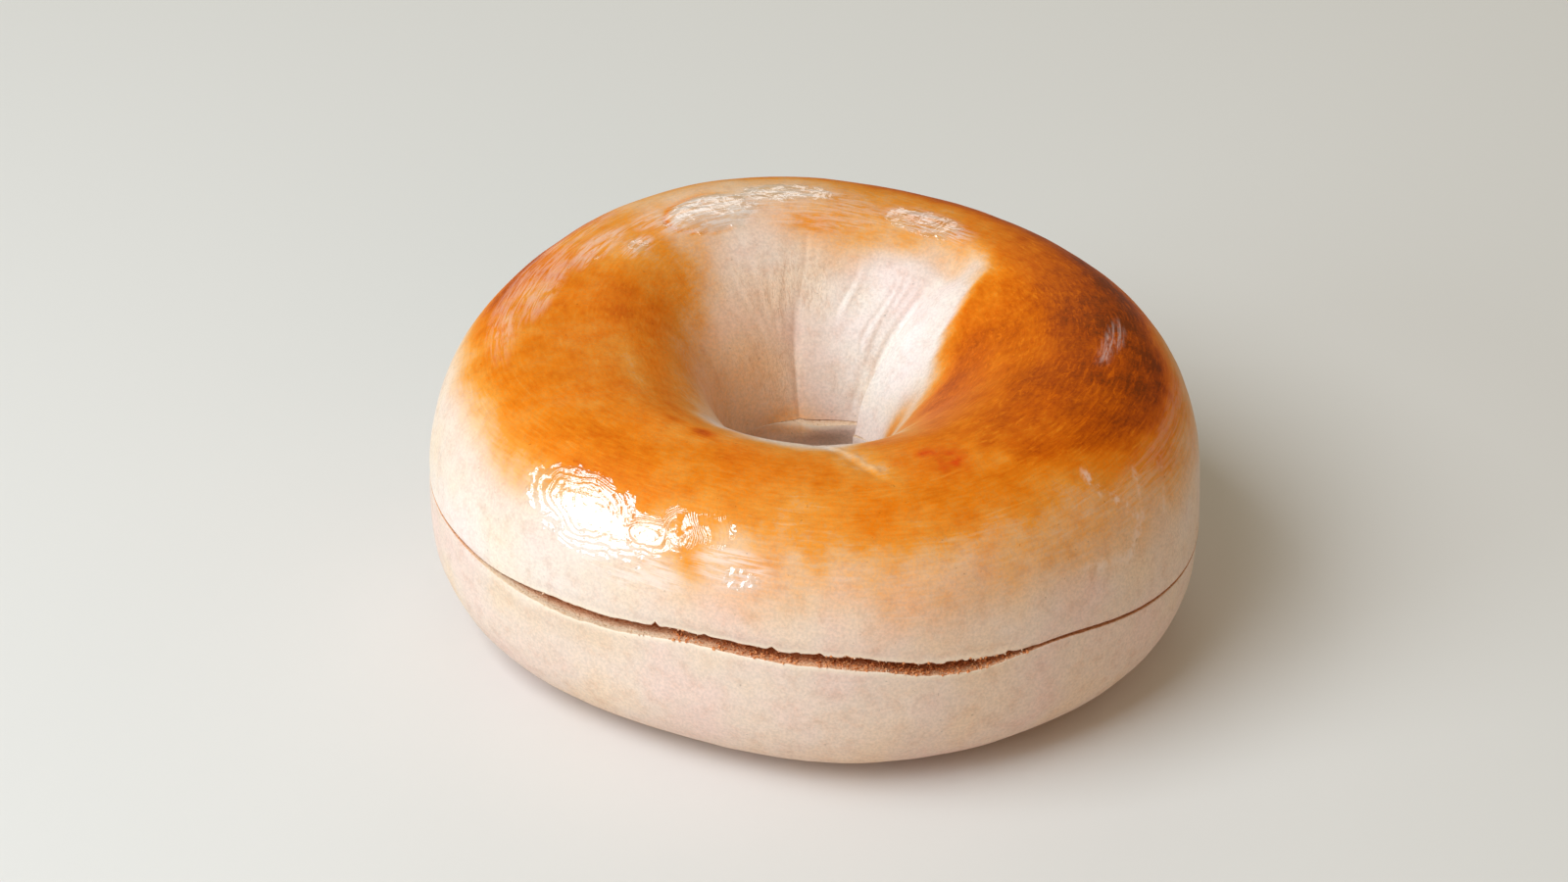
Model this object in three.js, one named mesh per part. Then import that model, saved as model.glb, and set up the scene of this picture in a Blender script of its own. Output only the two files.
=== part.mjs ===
// A bagel sliced level right through: a crown on a base, two rings of bread that still
// lie together. The ring is uneven, its hole is a funnel that leans to one side, and the
// end of the dough rope laps over the start, which leaves a fold down the hole's wall.
// Millimetres and degrees, +Z up. Directions run round the upright axis from +X to +Y.
import * as THREE from "three";

// The ring: one section that changes as it goes round the axis.
const CRUST_RADIUS = 54.5; // outside, at the waist
const CREST_RADIUS = 34; // where the top is highest
const THROAT_RADIUS = 9.7; // narrowest part of the hole
const CREST_HEIGHT = 44.3;
const WAIST_HEIGHT = 17.3; // height of the widest and of the narrowest part
const BOTTOM_FLAT = 0.6; // how much of the rounded bottom the baking tray has flattened
const AXIS_PLACE = { x: 0.7, y: -0.16 }; // the ring's axis, off the middle of its uneven outline

// Roundness of the section's quarters: 2 is an ellipse, more is squarer, less is steeper.
const SHOULDER_ROUNDNESS = 2.79;
const BOTTOM_ROUNDNESS = 2.78;
const FUNNEL_ROUNDNESS = 1.45;
const FUNNEL_DIP = { amount: 0.08, toward: 315 };
const FUNNEL_BULGE = { amount: 0.95, toward: 182, spread: 30 }; // the left lobe is rounder
const SECTION_SOFTENING = 9; // degrees of the section over which its quarters blend

// How far the ring is from round: so many swells, so high, one of them toward a direction.
const CRUST_SWELLS = [
  { count: 2, height: 1.9, toward: -34 },
  { count: 3, height: 1.15, toward: -47 },
  { count: 4, height: 0.4, toward: 9 },
  { count: 5, height: 0.37, toward: -18 },
];
const CREST_RADIUS_SWELLS = [
  { count: 1, height: 0.97, toward: 73 },
  { count: 2, height: 0.5, toward: -23 },
];
const CREST_HEIGHT_SWELLS = [
  { count: 1, height: 0.75, toward: 108 },
  { count: 2, height: 0.73, toward: -35 },
  { count: 3, height: 0.82, toward: -6 },
];
const THROAT_SWELLS = [{ count: 1, height: 4.7, toward: 122 }];
// Where the hole is flatter and where it is wider than that.
const THROAT_BULGES = [
  { out: -2.1, toward: 99, spread: 32 },
  { out: 1.5, toward: 190, spread: 34 },
];

// The fold: the rope's end stands into the hole, with a valley in the funnel behind it.
const FOLD = {
  throatDirection: 60,
  crestDirection: 47,
  lapIn: 1.6,
  lapSpread: 30,
  behindOut: 2.2,
  behindSpread: 24,
  valleyDepth: 2.2,
  valleySpread: 8,
  edgeWidth: 3.5,
};
// The corner down the far wall: the dough left of it bulges and turns back at a crease.
const CORNER = {
  throatDirection: 101,
  crestDirection: 94,
  out: 1.3,
  leftSpread: 15,
  rightSpread: 5,
  bulge: 0.9,
  bulgeAt: 30,
  bulgeSpread: 16,
  depth: 0.4,
  depthSpread: 3,
  from: 124,
  full: 150,
};
// The rope's seam on the near side of the top.
const SEAM = {
  innerRadius: 28,
  outerRadius: 41,
  innerDirection: 273,
  outerDirection: 285,
  depth: 0.5,
  width: 2.2,
};

// The cut: a tilted, wavering knife path, shut to a hairline except along the front.
const CUT_HEIGHT = 20.05;
const CUT_TILT = { x: -0.038, y: -0.026 };
const CUT_SWELLS = [
  { count: 2, height: 0.41, toward: 79 },
  { count: 3, height: 0.41, toward: 34 },
  { count: 4, height: 0.4, toward: 13 },
  { count: 6, height: 0.56, toward: 9.5 },
  { count: 7, height: 0.4, toward: 3.7 },
];
// The knife wandered more along the front than elsewhere.
const CUT_RIPPLE = { count: 12, height: 0.55, toward: 275, middle: 288, spread: 34 };
const HAIRLINE = 0.3;
const SLIT = { height: 1.35, from: 209, fullFrom: 229, fullTo: 289, to: 301, inner: 24, outer: 52 };
const BASE_LIP = { out: 0.6, toward: 221, spread: 16, height: 5 }; // the base stands proud here
const CROWN_TUCK = { in: 0.35, height: 2.5 }; // the crown's cut edge draws in over the slit

// Mesh density.
const COLUMNS = 96;
const CROWN_SKIN_STEPS = 22;
const BASE_SKIN_STEPS = 15;
const FACE_STEPS = 4;
const FINE_STEPS = 160; // along the skin, before it is thinned to even steps

const rad = THREE.MathUtils.degToRad;
const ease = (from, to, value) => THREE.MathUtils.smoothstep(value, from, to);
const bell = (offset, spread) => Math.exp(-((offset / spread) ** 2));
const signedPower = (value, power) => Math.sign(value) * Math.abs(value) ** power;

// Degrees round the axis, between 0 and 360, and degrees from a direction, between -180 and 180.
const fullTurn = (angle) => THREE.MathUtils.euclideanModulo(angle, 360);
const turnFrom = (angle, direction) => fullTurn(angle - direction + 180) - 180;
const directionOf = (x, y) => fullTurn(THREE.MathUtils.radToDeg(Math.atan2(y, x)));

const total = (values) => values.reduce((sum, value) => sum + value, 0);
const swell = (angle, swells) =>
  total(swells.map(({ count, height, toward }) => height * Math.cos(rad(count * (angle - toward)))));
const bulge = (angle, bulges) =>
  total(bulges.map(({ out, toward, spread }) => out * bell(turnFrom(angle, toward), spread)));

// The plain section at one direction. around is 0 at the outer waist, 90 on the crest,
// 180 in the throat and 270 underneath.
function plainSection(angle, around) {
  const across = Math.cos(rad(around));
  const up = Math.sin(rad(around));
  const crestRadius = CREST_RADIUS + swell(angle, CREST_RADIUS_SWELLS);
  const crustRadius = CRUST_RADIUS + swell(angle, CRUST_SWELLS);
  const throatRadius = THROAT_RADIUS + swell(angle, THROAT_SWELLS) + bulge(angle, THROAT_BULGES);
  const halfWidth = across < 0 ? crestRadius - throatRadius : crustRadius - crestRadius;
  const crestRise = CREST_HEIGHT + swell(angle, CREST_HEIGHT_SWELLS) - WAIST_HEIGHT;
  const halfHeight = up < 0 ? WAIST_HEIGHT + BOTTOM_FLAT : crestRise;
  const funnel =
    FUNNEL_ROUNDNESS -
    FUNNEL_DIP.amount * Math.cos(rad(angle - FUNNEL_DIP.toward)) +
    FUNNEL_BULGE.amount * bell(turnFrom(angle, FUNNEL_BULGE.toward), FUNNEL_BULGE.spread);
  const top = across < 0 ? funnel : SHOULDER_ROUNDNESS;
  const roundness = up < 0 ? BOTTOM_ROUNDNESS : top;
  return {
    radius: crestRadius + halfWidth * signedPower(across, 2 / roundness),
    height: WAIST_HEIGHT + halfHeight * signedPower(up, 2 / roundness),
  };
}

// The section averaged over a short stretch, so that its quarters meet without an edge.
function softSection(angle, around) {
  const weights = [0.07, 0.14, 0.18, 0.22, 0.18, 0.14, 0.07];
  const middle = (weights.length - 1) / 2;
  const soft = { radius: 0, height: 0 };
  weights.forEach((weight, i) => {
    const point = plainSection(angle, around + ((i - middle) / middle) * SECTION_SOFTENING);
    soft.radius += weight * point.radius;
    soft.height += weight * point.height;
  });
  return soft;
}

// A crease in the funnel swings from its throat direction to its crest direction.
function creaseOffset(angle, around, crease) {
  const upward = 1 - ease(100, 160, around);
  const direction = crease.throatDirection + (crease.crestDirection - crease.throatDirection) * upward;
  return turnFrom(angle, direction);
}

// How far the fold moves the hole's wall outwards, less where the rope's end laps in.
function foldShift(angle, around) {
  const offset = creaseOffset(angle, around, FOLD);
  const lap = -FOLD.lapIn * Math.exp(Math.min(offset, 0) / FOLD.lapSpread);
  const behind = FOLD.behindOut * Math.exp(-Math.max(offset, 0) / FOLD.behindSpread);
  const side = ease(-FOLD.edgeWidth, FOLD.edgeWidth, offset);
  return (lap + (behind - lap) * side) * ease(100, 150, around) * (1 - ease(205, 262, around));
}

// How far the far wall stands out at its corner, and in where the dough beside it bulges.
function cornerShift(angle, around) {
  const offset = creaseOffset(angle, around, CORNER);
  const spread = offset > 0 ? CORNER.leftSpread : CORNER.rightSpread;
  const out = CORNER.out * Math.exp(-Math.abs(offset) / spread);
  const beside = CORNER.bulge * bell(offset - CORNER.bulgeAt, CORNER.bulgeSpread);
  return (out - beside) * ease(CORNER.from, CORNER.full, around) * (1 - ease(162, 178, around));
}

// How deep the fold's valley, the corner's crease and the seam sink the top.
function creaseDepth(angle, around, radius) {
  const valley = FOLD.valleyDepth * bell(creaseOffset(angle, around, FOLD), FOLD.valleySpread);
  const crease = CORNER.depth * bell(creaseOffset(angle, around, CORNER), CORNER.depthSpread);
  const seamShare = (radius - SEAM.innerRadius) / (SEAM.outerRadius - SEAM.innerRadius);
  const seamDirection = SEAM.innerDirection + (SEAM.outerDirection - SEAM.innerDirection) * seamShare;
  const seamOffset = rad(turnFrom(angle, seamDirection)) * radius;
  const seamEnds = ease(-0.6, 0, seamShare) * (1 - ease(0.7, 1.2, seamShare));
  const seam = around < 150 ? SEAM.depth * bell(seamOffset, SEAM.width) * seamEnds : 0;
  return (
    valley * ease(92, 112, around) * (1 - ease(140, 165, around)) +
    crease * ease(88, 110, around) * (1 - ease(165, 200, around)) +
    seam
  );
}

// The knife path at a point, and how far the crown has lifted off the base there.
function cutHeight(x, y) {
  const angle = directionOf(x, y);
  const outward = ease(20, 50, Math.hypot(x, y));
  const ripple = swell(angle, [CUT_RIPPLE]) * bell(turnFrom(angle, CUT_RIPPLE.middle), CUT_RIPPLE.spread);
  const waver = outward * (swell(angle, CUT_SWELLS) + ripple);
  return CUT_HEIGHT + CUT_TILT.x * x + CUT_TILT.y * y + waver;
}

function slitHeight(x, y) {
  const angle = directionOf(x, y);
  const along = ease(SLIT.from, SLIT.fullFrom, angle) * (1 - ease(SLIT.fullTo, SLIT.to, angle));
  return HAIRLINE + SLIT.height * along * ease(SLIT.inner, SLIT.outer, Math.hypot(x, y));
}

const baseFace = (x, y) => cutHeight(x, y);
const crownFace = (x, y) => cutHeight(x, y) + slitHeight(x, y);

function pointAt(angle, radius, height) {
  return new THREE.Vector3(radius * Math.cos(rad(angle)), radius * Math.sin(rad(angle)), height);
}

// A point of the whole crust, before it is cut.
function crustPoint(angle, around) {
  const { radius, height } = softSection(angle, around);
  const shifted = radius + foldShift(angle, around) + cornerShift(angle, around);
  return pointAt(angle, shifted, Math.max(0, height - creaseDepth(angle, around, shifted)));
}

// Moves an outer point in or out near the cut, as its half of the bagel does.
function dressEdge(point, angle, isCrown) {
  const radius = Math.hypot(point.x, point.y);
  if (radius < CREST_RADIUS) return point;
  const aboveCut = point.z - cutHeight(point.x, point.y);
  const open = (slitHeight(point.x, point.y) - HAIRLINE) / SLIT.height;
  const tuck = CROWN_TUCK.in * open * (1 - ease(0, CROWN_TUCK.height, aboveCut - SLIT.height));
  const lip = BASE_LIP.out * bell(turnFrom(angle, BASE_LIP.toward), BASE_LIP.spread);
  const shift = isCrown ? -tuck : lip * (1 - ease(0, BASE_LIP.height, -aboveCut));
  return pointAt(angle, radius + shift, point.z);
}

// Where the crust meets a cut face, between two places round the section.
function edgePlace(angle, below, above, face) {
  let low = below;
  let high = above;
  for (let step = 0; step < 30; step++) {
    const middle = (low + high) / 2;
    const point = crustPoint(angle, middle);
    if (point.z < face(point.x, point.y)) low = middle;
    else high = middle;
  }
  return (low + high) / 2;
}

// Points at even distances along a fine line.
function evenPoints(line, steps) {
  const lengths = [0];
  line.slice(1).forEach((point, i) => lengths.push(lengths[i] + point.distanceTo(line[i])));
  const even = [];
  let part = 1;
  for (let step = 0; step <= steps; step++) {
    const length = (lengths.at(-1) * step) / steps;
    while (part < line.length - 1 && lengths[part] < length) part++;
    const share = (length - lengths[part - 1]) / (lengths[part] - lengths[part - 1]);
    even.push(line[part - 1].clone().lerp(line[part], share));
  }
  return even;
}

// One closed loop of a half: its skin from one cut edge to the other, then its cut face.
function halfLoop(angle, face, isCrown, skinSteps) {
  const outerEdge = edgePlace(angle, -60, 60, face);
  const innerEdge = edgePlace(angle, 230, 120, face);
  const from = isCrown ? outerEdge : innerEdge;
  const to = isCrown ? innerEdge : outerEdge + 360;
  const skin = [];
  for (let step = 0; step <= FINE_STEPS; step++) {
    const around = from + ((to - from) * step) / FINE_STEPS;
    skin.push(dressEdge(crustPoint(angle, around), angle, isCrown));
  }
  const loop = evenPoints(skin, skinSteps);
  const start = Math.hypot(loop[skinSteps].x, loop[skinSteps].y);
  const end = Math.hypot(loop[0].x, loop[0].y);
  for (let step = 1; step < FACE_STEPS; step++) {
    const radius = start + ((end - start) * step) / FACE_STEPS;
    const point = pointAt(angle, radius, 0);
    loop.push(point.setZ(face(point.x, point.y)));
  }
  return loop;
}

// Joins the loops of all directions into one closed ring.
function ringGeometry(face, isCrown, skinSteps) {
  const loops = Array.from({ length: COLUMNS }, (_, i) =>
    halfLoop((360 * i) / COLUMNS, face, isCrown, skinSteps),
  );
  const across = loops[0].length;
  const corner = (column, row) => (column % COLUMNS) * across + (row % across);
  const triangles = [];
  for (let column = 0; column < COLUMNS; column++) {
    for (let row = 0; row < across; row++) {
      const a = corner(column, row);
      const b = corner(column + 1, row);
      const c = corner(column + 1, row + 1);
      const d = corner(column, row + 1);
      triangles.push(a, b, c, a, c, d);
    }
  }
  const geometry = new THREE.BufferGeometry().setFromPoints(loops.flat());
  geometry.setIndex(triangles);
  geometry.computeVertexNormals();
  return geometry;
}

function makeHalf(name, face, isCrown, skinSteps, colour) {
  const crust = new THREE.MeshStandardMaterial({ color: colour, roughness: 0.4, metalness: 0 });
  const half = new THREE.Mesh(ringGeometry(face, isCrown, skinSteps), crust);
  half.name = name;
  half.position.set(AXIS_PLACE.x, AXIS_PLACE.y, 0);
  return half;
}

const bagel = new THREE.Group();
bagel.add(makeHalf("top_half", crownFace, true, CROWN_SKIN_STEPS, 0xd9822b));
bagel.add(makeHalf("bottom_half", baseFace, false, BASE_SKIN_STEPS, 0xe3c3a3));

export default bagel;
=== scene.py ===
"""A plain bagel, sliced level right through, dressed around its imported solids.

Both halves are built again from the sizes of the solids with a far finer mesh, so that the
crust, the torn slit and the folds of the hole show their relief, and crumbs are added.
Sizes are in millimetres and degrees until a mesh is made, with +Z up. The materials, the floor,
the lights and the camera's distance are in metres. A direction runs round the upright axis from
+X to +Y. "Around" runs round the section of the dough: 0 at the outer waist, 90 on the crest,
180 in the throat of the hole and 270 underneath. Four stops say where something starts, is
full, starts to end and has ended.
"""

import math

import bpy
import numpy as np
from mathutils import Matrix, Vector


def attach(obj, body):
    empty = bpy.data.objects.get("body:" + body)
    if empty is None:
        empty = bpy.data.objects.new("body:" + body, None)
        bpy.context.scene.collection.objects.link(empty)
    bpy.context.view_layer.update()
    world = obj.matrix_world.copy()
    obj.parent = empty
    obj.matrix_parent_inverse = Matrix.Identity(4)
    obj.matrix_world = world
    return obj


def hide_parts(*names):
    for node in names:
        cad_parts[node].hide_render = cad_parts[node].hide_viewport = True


MM = 0.001

# The ring, as in the solids.
CRUST_RADIUS = 54.5
CREST_RADIUS = 34
THROAT_RADIUS = 9.7
CREST_HEIGHT = 44.3
WAIST_HEIGHT = 17.3
BOTTOM_FLAT = 0.6
AXIS_PLACE = (0.7, -0.16)
SHOULDER_ROUNDNESS = 2.79
BOTTOM_ROUNDNESS = 2.78
FUNNEL_ROUNDNESS = 1.45
FUNNEL_BULGE = {"amount": 0.95, "toward": 182, "spread": 30}  # the left lobe is rounder
SECTION_SOFTENING = 9  # to either side, for the average of the section
SOFTENING_WEIGHTS = (0.07, 0.14, 0.18, 0.22, 0.18, 0.14, 0.07)
SECTION_ARC = 22  # mean radius of the section

# Swells: so many round the ring, so high, one of them toward a direction.
CRUST_SWELLS = ((2, 1.9, -34), (3, 1.15, -47), (4, 0.4, 9), (5, 0.37, -18))
CREST_RADIUS_SWELLS = ((1, 0.97, 73), (2, 0.5, -23))
CREST_HEIGHT_SWELLS = ((1, 0.75, 108), (2, 0.73, -35), (3, 0.82, -6))
THROAT_SWELLS = ((1, 4.7, 122),)
THROAT_BULGES = ((-2.1, 99, 32), (1.5, 190, 34))  # how far out, toward and over which spread
FUNNEL_SWELLS = ((1, -0.08, 315),)
CUT_SWELLS = ((2, 0.41, 79), (3, 0.41, 34), (4, 0.4, 13), (6, 0.56, 9.5), (7, 0.4, 3.7))

# The fold where the rope's end laps over the dough behind it, and the valley along it.
FOLD = {
    "throat": 60,
    "crest": 47,
    "lap_in": 1.6,
    "lap_spread": 30,
    "behind_out": 2.2,
    "behind_spread": 24,
    "edge_width": 1.6,
    "stops": (100, 150, 205, 262),
    "valley_depth": 2.2,
    "valley_spread": 6,
    "valley_stops": (92, 112, 140, 165),
}
# The corner down the far wall: the dough left of it bulges and turns back at a sharp crease.
CORNER = {
    "throat": 101,
    "crest": 94,
    "out": 1.3,
    "left_spread": 15,
    "right_spread": 5,
    "bulge": 0.9,
    "bulge_at": 30,
    "bulge_spread": 16,
    "stops": (124, 150, 162, 178),
}
CORNER_CREASE = {"depth": 0.4, "spread": 2.2, "stops": (88, 110, 165, 200)}
CORNER_FAINT = {"share": 0.2, "span": (126, 146)}  # the crease starts faintly on top
CREASE_SWING = (100, 160)  # where round the section the fold and the corner change direction
# The rope's seam on top, between two radii. Its stops are shares of its length.
SEAM = {
    "inner_radius": 28,
    "outer_radius": 41,
    "inner": 273,
    "outer": 285,
    "depth": 0.3,
    "width": 2,
    "stops": (-0.6, 0, 0.5, 1.1),
    "around_to": 150,
}

CUT_HEIGHT = 20.05
CUT_TILT = (-0.038, -0.026)
CUT_WAVER_RADII = (20, 50)  # the cut starts to waver at the one and does so fully at the other
CUT_RIPPLES = ((12, 0.55, 275),)  # swells too, near one direction
RIPPLED = {"toward": 288, "spread": 34}
HAIRLINE = 0.3  # gap between the closed halves on the outside
PARTED = {"more": 0.3, "toward": 312, "spread": 22}  # the hairline is wider beside the slit
HOLE_HAIRLINE = {"gap": 0.16, "toward": 84, "spread": 33.6}  # gap at the hole's far wall
HOLE_LEDGE = {"out": -1.5, "toward": 84, "spread": 24, "height": 4.5}  # the base juts into the hole
SLIT = {"height": 1.35, "stops": (209, 229, 289, 303), "radii": (24, 52)}
BASE_LIP = {"out": 0.6, "toward": 221, "spread": 16, "height": 5}
CROWN_TUCK = {"in": 0.35, "height": 2.5}

# The torn edges' unevenness, and the share of it in a closed cut. Here and below, a layer of noise
# is an amount, a size and a seed.
BASE_TEAR = ((0.1, 2.6, 31), (0.1, 1.1, 32))
CROWN_TEAR = ((0.1, 2.6, 41), (0.1, 1.1, 42))
CLOSED_TEAR = 0.15
# The crown's edge has teeth between four stops, and notches by direction, height and width.
TEETH = {"layers": ((0.45, 0.65, 47),), "stops": (258, 264, 297, 302)}
NOTCHES = ((243.6, 0.75, 0.7), (269.8, 0.5, 0.6), (262.5, 0.3, 0.8), (252, 0.3, 0.9))
TOOTHED_RADII = (44, 50)  # both are only near the crust

# Mesh density.
COLUMNS = 610
COLUMN_DENSITY = ((1.5, 266, 48), (0.25, 78, 40))  # how much denser, toward and over which spread
DIRECTION_STEPS = 3600  # for working out the columns' directions
FINE_STEPS = 420  # points of a column before its rows are chosen
CROWN_ROWS = 136
BASE_ROWS = 104
FACE_ROWS = 24
EDGE_DENSITY = 2.4  # extra rows beside a cut edge
EDGE_STRETCH = 1.6  # mm over which they thin out
OUTER_EDGE_BETWEEN = (-60, 60)
INNER_EDGE_BETWEEN = (230, 120)
BISECTIONS = 30

# Factors and masks of the hash that gives each cell of a noise pattern its value.
CELL_FACTORS = (73856093, 19349663, 83492791)
SEED_FACTOR = 2654435761
MIX_FACTOR = 1274126177
LOW_32_BITS = 0xFFFFFFFF
LOW_16_BITS = 0xFFFF
LEVEL = np.array([1, 1, 0])  # leaves the height out of a place

# The photograph's camera: its frame, and the pixel that the lens looks straight at.
FRAME_WIDTH, FRAME_HEIGHT = 1600, 900
LENS_PIXEL = (835.05, 475.81)
CAMERA_ELEVATION = 33
CAMERA_ROLL = -0.958
CAMERA_DISTANCE = 0.5722
CAMERA_LENS = 90
SENSOR_WIDTH = 36
TARGET_HEIGHT = 20


def ease(low, high, value):
    share = np.clip((value - low) / (high - low), 0, 1)
    return share * share * (3 - 2 * share)


def window(value, stops):
    """1 between the middle two of four stops, easing to 0 at the outer two."""
    return ease(stops[0], stops[1], value) * (1 - ease(stops[2], stops[3], value))


def bell(offset, spread):
    return np.exp(-((offset / spread) ** 2))


def signed_power(value, power):
    return np.sign(value) * np.abs(value) ** power


def turn_from(angle, direction):
    return (angle - direction + 180) % 360 - 180


def near(angle, direction, spread):
    """1 in a direction, falling off to both sides."""
    return bell(turn_from(angle, direction), spread)


def arc_from(angle, direction, radius):
    """How many millimetres a point lies beside a direction."""
    return np.radians(turn_from(angle, direction)) * radius


def swell(angle, swells):
    return sum(height * np.cos(np.radians(count * (angle - toward))) for count, height, toward in swells)


def radius_of(points):
    return np.hypot(points[..., 0], points[..., 1])


def direction_of(points):
    return np.degrees(np.arctan2(points[..., 1], points[..., 0])) % 360


def point_at(angle, radius, height):
    turn = np.radians(angle)
    return np.stack(np.broadcast_arrays(radius * np.cos(turn), radius * np.sin(turn), height), axis=-1)


def lattice_value(cell, seed):
    """A random value between 0 and 1 for each cell of a cubic lattice."""
    mixed = seed * SEED_FACTOR
    for axis, factor in enumerate(CELL_FACTORS):
        mixed = mixed ^ (cell[..., axis] * factor)
    mixed = ((mixed ^ (mixed >> 13)) * MIX_FACTOR) & LOW_32_BITS
    return ((mixed ^ (mixed >> 16)) & LOW_16_BITS) / LOW_16_BITS


def noise(points, size, seed):
    """Smooth noise between -1 and 1 whose lumps are about `size` across."""
    scaled = points / size
    cell = np.floor(scaled).astype(np.int64)
    share = scaled - cell
    share = share**3 * (share * (share * 6 - 15) + 10)
    total = np.zeros(points.shape[:-1])
    for corner in np.ndindex(2, 2, 2):
        weight = np.prod(np.where(corner, share, 1 - share), axis=-1)
        total += weight * lattice_value(cell + np.array(corner), seed)
    return 2 * total - 1


def layered(points, layers):
    """The sum of layers of noise, each of which has an amount, a size and a seed."""
    return sum(amount * noise(points, size, seed) for amount, size, seed in layers)


def plain_section(angle, around):
    """The plain section's radius and height at one direction."""
    across = np.cos(np.radians(around))
    up = np.sin(np.radians(around))
    crest_radius = CREST_RADIUS + swell(angle, CREST_RADIUS_SWELLS)
    throat_radius = THROAT_RADIUS + swell(angle, THROAT_SWELLS)
    for out, toward, spread in THROAT_BULGES:
        throat_radius = throat_radius + out * near(angle, toward, spread)
    inner = crest_radius - throat_radius
    outer = CRUST_RADIUS + swell(angle, CRUST_SWELLS) - crest_radius
    crest_rise = CREST_HEIGHT + swell(angle, CREST_HEIGHT_SWELLS) - WAIST_HEIGHT
    bulge = FUNNEL_BULGE["amount"] * near(angle, FUNNEL_BULGE["toward"], FUNNEL_BULGE["spread"])
    funnel = FUNNEL_ROUNDNESS + swell(angle, FUNNEL_SWELLS) + bulge
    top = np.where(across < 0, funnel, SHOULDER_ROUNDNESS)
    roundness = np.where(up < 0, BOTTOM_ROUNDNESS, top)
    half_width = np.where(across < 0, inner, outer)
    half_height = np.where(up < 0, WAIST_HEIGHT + BOTTOM_FLAT, crest_rise)
    radius = crest_radius + half_width * signed_power(across, 2 / roundness)
    height = WAIST_HEIGHT + half_height * signed_power(up, 2 / roundness)
    return radius, height


def soft_section(angle, around):
    """The section averaged over a short stretch, so that its quarters meet without an edge."""
    middle = (len(SOFTENING_WEIGHTS) - 1) / 2
    radius = height = 0
    for i, weight in enumerate(SOFTENING_WEIGHTS):
        beside = plain_section(angle, around + (i - middle) / middle * SECTION_SOFTENING)
        radius = radius + weight * beside[0]
        height = height + weight * beside[1]
    return radius, height


def crease_offset(angle, around, crease):
    """Degrees from a crease that swings from its throat direction to its crest direction."""
    upward = 1 - ease(*CREASE_SWING, around)
    return turn_from(angle, crease["throat"] + (crease["crest"] - crease["throat"]) * upward)


def fold_shift(angle, around):
    """How far out the fold moves the hole's wall. The rope's end laps in, which is less than 0."""
    offset = crease_offset(angle, around, FOLD)
    lap = -FOLD["lap_in"] * np.exp(np.minimum(offset, 0) / FOLD["lap_spread"])
    behind = FOLD["behind_out"] * np.exp(-np.maximum(offset, 0) / FOLD["behind_spread"])
    side = ease(-FOLD["edge_width"], FOLD["edge_width"], offset)
    return (lap + (behind - lap) * side) * window(around, FOLD["stops"])


def corner_shift(angle, around):
    """How far out the far wall is at its corner, less where the dough beside it bulges in."""
    offset = crease_offset(angle, around, CORNER)
    spread = np.where(offset > 0, CORNER["left_spread"], CORNER["right_spread"])
    out = CORNER["out"] * np.exp(-np.abs(offset) / spread)
    bulge = CORNER["bulge"] * bell(offset - CORNER["bulge_at"], CORNER["bulge_spread"])
    return (out - bulge) * window(around, CORNER["stops"])


def seam_place(angle, radius):
    """How far out along the rope's seam a point is, and how far beside it in millimetres."""
    share = (radius - SEAM["inner_radius"]) / (SEAM["outer_radius"] - SEAM["inner_radius"])
    return share, arc_from(angle, SEAM["inner"] + (SEAM["outer"] - SEAM["inner"]) * share, radius)


def crease_depth(angle, around, radius):
    """How deep the fold's valley, the corner's crease and the seam sink the dough."""
    valley = FOLD["valley_depth"] * bell(crease_offset(angle, around, FOLD), FOLD["valley_spread"])
    crease = CORNER_CREASE["depth"] * bell(crease_offset(angle, around, CORNER), CORNER_CREASE["spread"])
    faint = CORNER_FAINT["share"]
    strength = faint + (1 - faint) * ease(*CORNER_FAINT["span"], around)
    share, beside = seam_place(angle, radius)
    seam = SEAM["depth"] * bell(beside, SEAM["width"]) * window(share, SEAM["stops"])
    return (
        valley * window(around, FOLD["valley_stops"])
        + crease * strength * window(around, CORNER_CREASE["stops"])
        + np.where(around < SEAM["around_to"], seam, 0)
    )


def crust_point(angle, around):
    """A point of the whole crust, before it is cut."""
    radius, height = soft_section(angle, around)
    shifted = radius + fold_shift(angle, around) + corner_shift(angle, around)
    return point_at(angle, shifted, np.maximum(0, height - crease_depth(angle, around, shifted)))


def slit_share(angle):
    """1 where the slit gapes, 0 where the halves touch but for a hairline."""
    return window(angle, SLIT["stops"])


def cut_height(points):
    """The height of the cut, which the base's face follows."""
    angle = direction_of(points)
    ripple = swell(angle, CUT_RIPPLES) * near(angle, RIPPLED["toward"], RIPPLED["spread"])
    waver = ease(*CUT_WAVER_RADII, radius_of(points)) * (swell(angle, CUT_SWELLS) + ripple)
    return CUT_HEIGHT + CUT_TILT[0] * points[..., 0] + CUT_TILT[1] * points[..., 1] + waver


def slit_height(points):
    """How far the crown's face is above the cut."""
    outward = ease(*SLIT["radii"], radius_of(points))
    angle = direction_of(points)
    parted = PARTED["more"] * near(angle, PARTED["toward"], PARTED["spread"])
    in_hole = HOLE_HAIRLINE["gap"] * near(angle, HOLE_HAIRLINE["toward"], HOLE_HAIRLINE["spread"])
    hairline = in_hole + (HAIRLINE + parted - in_hole) * outward
    return hairline + SLIT["height"] * slit_share(angle) * outward


def torn(points, layers):
    """Unevenness of a cut face, most of it where the slit gapes."""
    gape = slit_share(direction_of(points))
    return layered(points * LEVEL, layers) * (CLOSED_TEAR + (1 - CLOSED_TEAR) * gape)


def teeth_and_notches(points):
    """How far the crown's torn edge rises between its teeth and in its notches."""
    angle = direction_of(points)
    radius = radius_of(points)
    rise = np.maximum(0, layered(points * LEVEL, TEETH["layers"])) * window(angle, TEETH["stops"])
    for direction, height, width in NOTCHES:
        rise = rise + height * bell(arc_from(angle, direction, radius), width / 2)
    return rise * ease(*TOOTHED_RADII, radius)


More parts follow.
